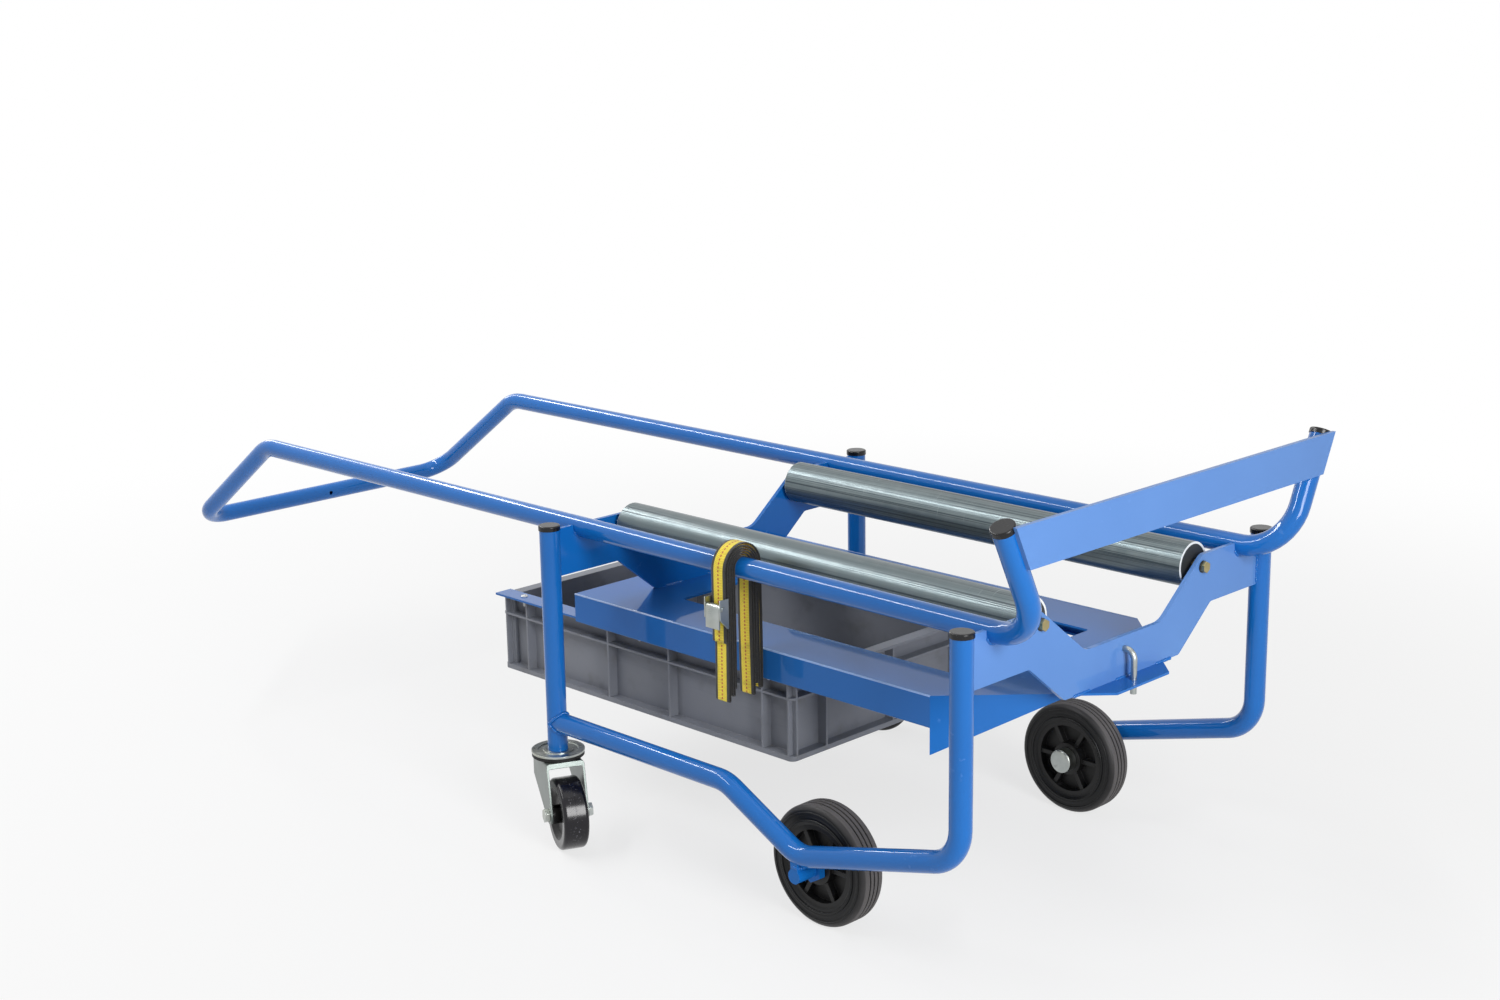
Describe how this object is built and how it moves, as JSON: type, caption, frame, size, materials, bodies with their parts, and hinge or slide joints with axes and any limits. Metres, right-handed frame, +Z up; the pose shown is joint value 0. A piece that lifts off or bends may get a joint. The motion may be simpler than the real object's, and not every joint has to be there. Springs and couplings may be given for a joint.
{
  "type": "drum trolley with drip tray",
  "caption": "Tube-framed roller trolley on fixed wheels and swivel castors, with push handle, foot plate, lashing strap and a ribbed plastic drip tray that slides out under the load.",
  "frame": {"origin": "on the floor under the middle of the overall box", "axes": "+X towards the foot plate, +Y to the left of whoever pushes, +Z up"},
  "size_m": [1.823, 0.721, 0.5932],
  "materials": {
    "blue_paint": "semi-gloss paint",
    "black_plastic": "glossy moulded",
    "zinc_steel": "bright zinc plate",
    "roller_steel": "galvanised, worn",
    "yellow_zinc": "yellow zinc plate",
    "dark_steel": "dark plated",
    "tyre_rubber": "solid rubber",
    "rim_plastic": "moulded",
    "bush_plastic": "moulded",
    "castor_tread": "smooth",
    "castor_plastic": "moulded",
    "seal_rubber": "matte",
    "tray_plastic": "moulded grey",
    "white_screws": "plated",
    "webbing": "woven"
  },
  "bodies": {
    "frame": {"handle_tube": "blue_paint", "front_cross_plate": "blue_paint", "rear_cross_plate": "blue_paint", "foot_plate": "blue_paint", "tray_guide": "blue_paint", "castor_post_left": "blue_paint", "castor_post_right": "blue_paint", "side_tube_left": "blue_paint", "side_tube_right": "blue_paint", "stub_axle_left": "blue_paint", "stub_axle_right": "blue_paint", "upright_caps": "black_plastic", "front_leg_caps": "black_plastic", "castor_post_caps": "black_plastic", "lashing_eye": "zinc_steel", "buckle_frame": "zinc_steel", "buckle_pin": "zinc_steel", "hub_cap_left": "zinc_steel", "hub_cap_right": "zinc_steel", "castor_head_left": "zinc_steel", "castor_head_right": "zinc_steel", "roller_bolts": "yellow_zinc", "roller_nuts": "yellow_zinc", "roller_washers": "dark_steel", "castor_seal_left": "seal_rubber", "castor_seal_right": "seal_rubber", "lashing_strap": "webbing"},
    "roller_left": {"roller_tube_left": "roller_steel", "roller_plugs_left": "roller_steel"},
    "wheel_left": {"wheel_rim_left": "rim_plastic", "wheel_tyre_left": "tyre_rubber", "wheel_bush_left": "bush_plastic"},
    "castor_swivel_left": {"castor_fork_left": "zinc_steel", "castor_axle_left": "zinc_steel"},
    "castor_wheel_left": {"castor_rim_left": "castor_plastic", "castor_tyre_left": "castor_tread"},
    "roller_right": {"roller_tube_right": "roller_steel", "roller_plugs_right": "roller_steel"},
    "wheel_right": {"wheel_rim_right": "rim_plastic", "wheel_tyre_right": "tyre_rubber", "wheel_bush_right": "bush_plastic"},
    "castor_swivel_right": {"castor_fork_right": "zinc_steel", "castor_axle_right": "zinc_steel"},
    "castor_wheel_right": {"castor_rim_right": "castor_plastic", "castor_tyre_right": "castor_tread"},
    "tray": {"drip_tray": "tray_plastic", "tray_runner_left": "blue_paint", "tray_runner_right": "blue_paint", "tray_screws": "white_screws"},
    "buckle_lever": {"buckle_cam": "zinc_steel"}
  },
  "joints": [
    {"name": "roller_spin_left", "type": "hinge", "parent": "frame", "child": "roller_left", "pos_m": [0.461, 0.167, 0.426], "axis": [1, 0, 0], "continuous": true},
    {"name": "wheel_spin_left", "type": "hinge", "parent": "frame", "child": "wheel_left", "pos_m": [0.564, 0.2585, 0.08], "axis": [0, 1, 0], "continuous": true},
    {"name": "castor_swivel_left", "type": "hinge", "parent": "frame", "child": "castor_swivel_left", "pos_m": [0.101, 0.308, 0.12], "axis": [0, 0, 1], "continuous": true},
    {"name": "castor_spin_left", "type": "hinge", "parent": "castor_swivel_left", "child": "castor_wheel_left", "pos_m": [0.13725, 0.3249, 0.05], "axis": [-0.4226, 0.9063, 0], "continuous": true},
    {"name": "roller_spin_right", "type": "hinge", "parent": "frame", "child": "roller_right", "pos_m": [0.461, -0.167, 0.426], "axis": [1, 0, 0], "continuous": true},
    {"name": "wheel_spin_right", "type": "hinge", "parent": "frame", "child": "wheel_right", "pos_m": [0.564, -0.2585, 0.08], "axis": [0, 1, 0], "continuous": true},
    {"name": "castor_swivel_right", "type": "hinge", "parent": "frame", "child": "castor_swivel_right", "pos_m": [0.101, -0.308, 0.12], "axis": [0, 0, 1], "continuous": true},
    {"name": "castor_spin_right", "type": "hinge", "parent": "castor_swivel_right", "child": "castor_wheel_right", "pos_m": [0.13725, -0.3249, 0.05], "axis": [0.4226, 0.9063, 0], "continuous": true},
    {"name": "tray_slide", "type": "slide", "parent": "frame", "child": "tray", "axis": [1, 0, 0], "range_m": [-0.25, 0.243]},
    {"name": "buckle_hinge", "type": "hinge", "parent": "frame", "child": "buckle_lever", "pos_m": [0.406, -0.29275, 0.3905], "axis": [-1, 0, 0], "range_deg": [0, 80]}
  ]
}
